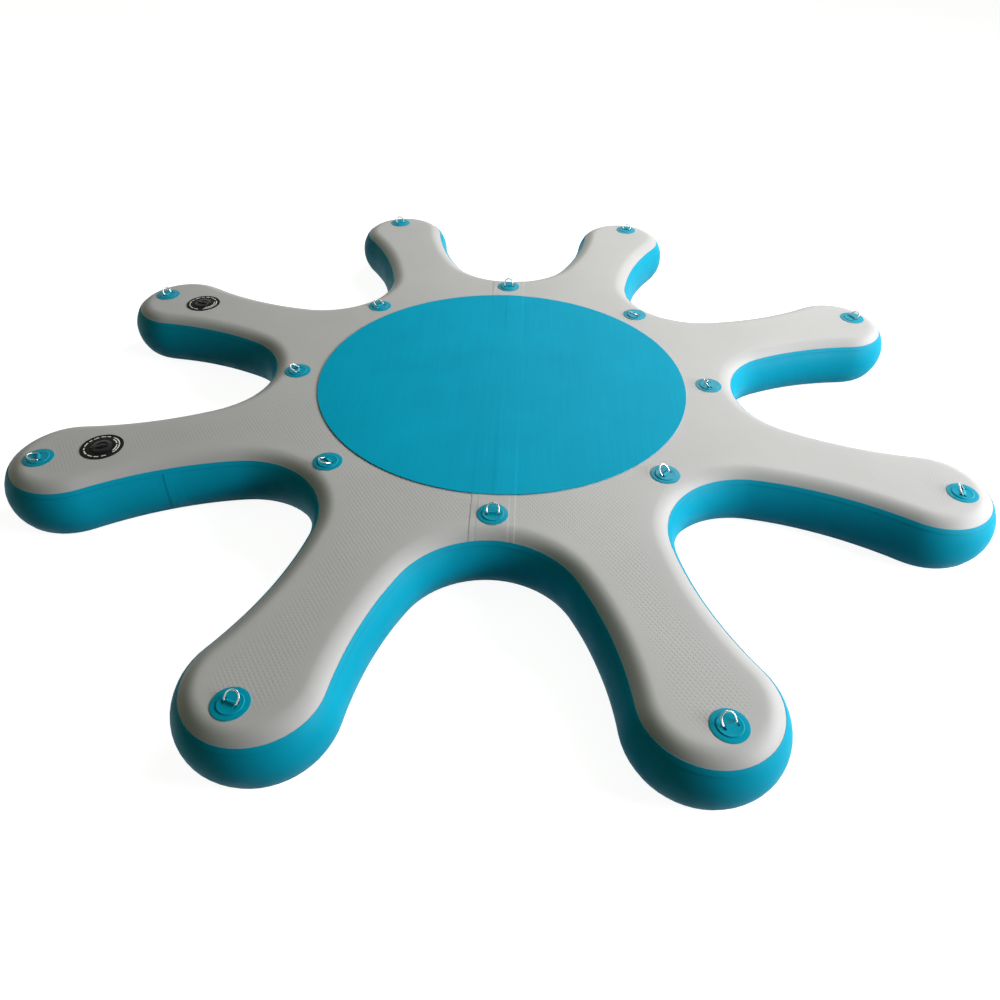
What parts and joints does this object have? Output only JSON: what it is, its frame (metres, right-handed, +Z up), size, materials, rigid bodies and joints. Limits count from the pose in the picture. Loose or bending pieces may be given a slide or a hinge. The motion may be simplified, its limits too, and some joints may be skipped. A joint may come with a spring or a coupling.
{
  "type": "inflatable floating dock",
  "caption": "Inflatable floating dock of drop-stitch cloth: a round deck with paired arms like paddles, a round deck pad, D-rings on patches, and capped inflation valves.",
  "frame": {"origin": "middle of the dock in plan, on the flat surface it lies on", "axes": "+Z up; -Y to the front pair of arms; the two valves are on the left arms, -X"},
  "size_m": [3.0268, 3.0268, 0.2358],
  "materials": {
    "grey_cloth": "satin, fine embossed grain",
    "teal_cloth": "semi-gloss coated cloth",
    "pad_foam": "satin brushed foam",
    "yarn": "matte yarn",
    "stainless": "polished",
    "black_plastic": "moulded satin",
    "black_rubber": "matte"
  },
  "bodies": {
    "dock": {"top_panel_left": "grey_cloth", "top_panel_right": "grey_cloth", "bottom_panel_left": "teal_cloth", "bottom_panel_right": "teal_cloth", "side_wall": "teal_cloth", "drop_stitch_left": "yarn", "drop_stitch_right": "yarn", "top_seam_tape": "grey_cloth", "bottom_seam_tape": "teal_cloth", "deck_pad": "pad_foam", "patch_tip_1": "teal_cloth", "patch_tip_2": "teal_cloth", "patch_tip_3": "teal_cloth", "patch_tip_4": "teal_cloth", "patch_tip_5": "teal_cloth", "patch_tip_6": "teal_cloth", "patch_tip_7": "teal_cloth", "patch_tip_8": "teal_cloth", "patch_notch_1": "teal_cloth", "patch_notch_2": "teal_cloth", "patch_notch_3": "teal_cloth", "patch_notch_4": "teal_cloth", "patch_notch_5": "teal_cloth", "patch_notch_6": "teal_cloth", "patch_notch_7": "teal_cloth", "patch_notch_8": "teal_cloth", "valve_front_plate": "black_rubber", "valve_front_body": "black_plastic", "valve_front_nut": "black_plastic", "valve_front_spring": "stainless", "valve_back_plate": "black_rubber", "valve_back_body": "black_plastic", "valve_back_nut": "black_plastic", "valve_back_spring": "stainless"},
    "ring_tip_1": {"ring_tip_1": "stainless"},
    "ring_tip_2": {"ring_tip_2": "stainless"},
    "ring_tip_3": {"ring_tip_3": "stainless"},
    "ring_tip_4": {"ring_tip_4": "stainless"},
    "ring_tip_5": {"ring_tip_5": "stainless"},
    "ring_tip_6": {"ring_tip_6": "stainless"},
    "ring_tip_7": {"ring_tip_7": "stainless"},
    "ring_tip_8": {"ring_tip_8": "stainless"},
    "ring_notch_1": {"ring_notch_1": "stainless"},
    "ring_notch_2": {"ring_notch_2": "stainless"},
    "ring_notch_3": {"ring_notch_3": "stainless"},
    "ring_notch_4": {"ring_notch_4": "stainless"},
    "ring_notch_5": {"ring_notch_5": "stainless"},
    "ring_notch_6": {"ring_notch_6": "stainless"},
    "ring_notch_7": {"ring_notch_7": "stainless"},
    "ring_notch_8": {"ring_notch_8": "stainless"},
    "valve_front_stem": {"valve_front_stem": "black_plastic", "valve_front_washer": "black_rubber"},
    "valve_front_tether": {"valve_front_tether": "black_rubber"},
    "valve_front_cap": {"valve_front_cap": "black_plastic"},
    "valve_back_stem": {"valve_back_stem": "black_plastic", "valve_back_washer": "black_rubber"},
    "valve_back_tether": {"valve_back_tether": "black_rubber"},
    "valve_back_cap": {"valve_back_cap": "black_plastic"}
  },
  "joints": [
    {"name": "ring_tip_1_hinge", "type": "hinge", "parent": "dock", "child": "ring_tip_1", "pos_m": [-0.54827, -1.38761, 0.2055], "axis": [0.93, -0.3675, 0], "range_deg": [-28, 128]},
    {"name": "ring_tip_2_hinge", "type": "hinge", "parent": "dock", "child": "ring_tip_2", "pos_m": [0.54827, -1.38761, 0.2055], "axis": [0.93, 0.3675, 0], "range_deg": [-28, 128]},
    {"name": "ring_tip_3_hinge", "type": "hinge", "parent": "dock", "child": "ring_tip_3", "pos_m": [1.38761, -0.54827, 0.2055], "axis": [0.3675, 0.93, 0], "range_deg": [-38, 118]},
    {"name": "ring_tip_4_hinge", "type": "hinge", "parent": "dock", "child": "ring_tip_4", "pos_m": [1.38761, 0.54827, 0.2055], "axis": [-0.3675, 0.93, 0], "range_deg": [-128, 28]},
    {"name": "ring_tip_5_hinge", "type": "hinge", "parent": "dock", "child": "ring_tip_5", "pos_m": [0.54827, 1.38761, 0.2055], "axis": [-0.93, 0.3675, 0], "range_deg": [-140, 16]},
    {"name": "ring_tip_6_hinge", "type": "hinge", "parent": "dock", "child": "ring_tip_6", "pos_m": [-0.54827, 1.38761, 0.2055], "axis": [-0.93, -0.3675, 0], "range_deg": [-133, 23]},
    {"name": "ring_tip_7_hinge", "type": "hinge", "parent": "dock", "child": "ring_tip_7", "pos_m": [-1.38761, 0.54827, 0.2055], "axis": [-0.3675, -0.93, 0], "range_deg": [-98, 58]},
    {"name": "ring_tip_8_hinge", "type": "hinge", "parent": "dock", "child": "ring_tip_8", "pos_m": [-1.38761, -0.54827, 0.2055], "axis": [0.3675, -0.93, 0], "range_deg": [-148, 8]},
    {"name": "ring_notch_1_hinge", "type": "hinge", "parent": "dock", "child": "ring_notch_1", "pos_m": [0, -0.725, 0.2067], "axis": [1, 0, 0], "range_deg": [-33, 123]},
    {"name": "ring_notch_2_hinge", "type": "hinge", "parent": "dock", "child": "ring_notch_2", "pos_m": [0.51265, -0.51265, 0.2055], "axis": [0.7071, 0.7071, 0], "range_deg": [-33, 123]},
    {"name": "ring_notch_3_hinge", "type": "hinge", "parent": "dock", "child": "ring_notch_3", "pos_m": [0.725, 0, 0.2055], "axis": [0, 1, 0], "range_deg": [-33, 123]},
    {"name": "ring_notch_4_hinge", "type": "hinge", "parent": "dock", "child": "ring_notch_4", "pos_m": [0.51265, 0.51265, 0.2055], "axis": [-0.7071, 0.7071, 0], "range_deg": [-18, 138]},
    {"name": "ring_notch_5_hinge", "type": "hinge", "parent": "dock", "child": "ring_notch_5", "pos_m": [0, 0.725, 0.2067], "axis": [-1, 0, 0], "range_deg": [-98, 58]},
    {"name": "ring_notch_6_hinge", "type": "hinge", "parent": "dock", "child": "ring_notch_6", "pos_m": [-0.51265, 0.51265, 0.2055], "axis": [-0.7071, -0.7071, 0], "range_deg": [-140, 16]},
    {"name": "ring_notch_7_hinge", "type": "hinge", "parent": "dock", "child": "ring_notch_7", "pos_m": [-0.725, 0, 0.2055], "axis": [0, -1, 0], "range_deg": [-133, 23]},
    {"name": "ring_notch_8_hinge", "type": "hinge", "parent": "dock", "child": "ring_notch_8", "pos_m": [-0.51265, -0.51265, 0.2055], "axis": [0.7071, -0.7071, 0], "range_deg": [-143, 13]},
    {"name": "valve_front_push", "type": "slide", "parent": "dock", "child": "valve_front_stem", "axis": [0, 0, -1], "range_m": [0, 0.005], "stiffness_N_per_m": 800, "springref_m": -0.004, "deforming": ["valve_front_spring"]},
    {"name": "valve_front_tether_turn", "type": "hinge", "parent": "dock", "child": "valve_front_tether", "pos_m": [-1.22113, -0.4825, 0.2033], "axis": [0, 0, 1], "range_deg": [0, 90]},
    {"name": "valve_front_cap_lift", "type": "slide", "parent": "valve_front_tether", "child": "valve_front_cap", "axis": [0, 0, 1], "range_m": [0, 0.03]},
    {"name": "valve_back_push", "type": "slide", "parent": "dock", "child": "valve_back_stem", "axis": [0, 0, -1], "range_m": [0, 0.005], "stiffness_N_per_m": 800, "springref_m": -0.004, "deforming": ["valve_back_spring"]},
    {"name": "valve_back_tether_turn", "type": "hinge", "parent": "dock", "child": "valve_back_tether", "pos_m": [-1.22113, 0.4825, 0.2033], "axis": [0, 0, 1], "range_deg": [0, 90]},
    {"name": "valve_back_cap_lift", "type": "slide", "parent": "valve_back_tether", "child": "valve_back_cap", "axis": [0, 0, 1], "range_m": [0, 0.03]}
  ]
}
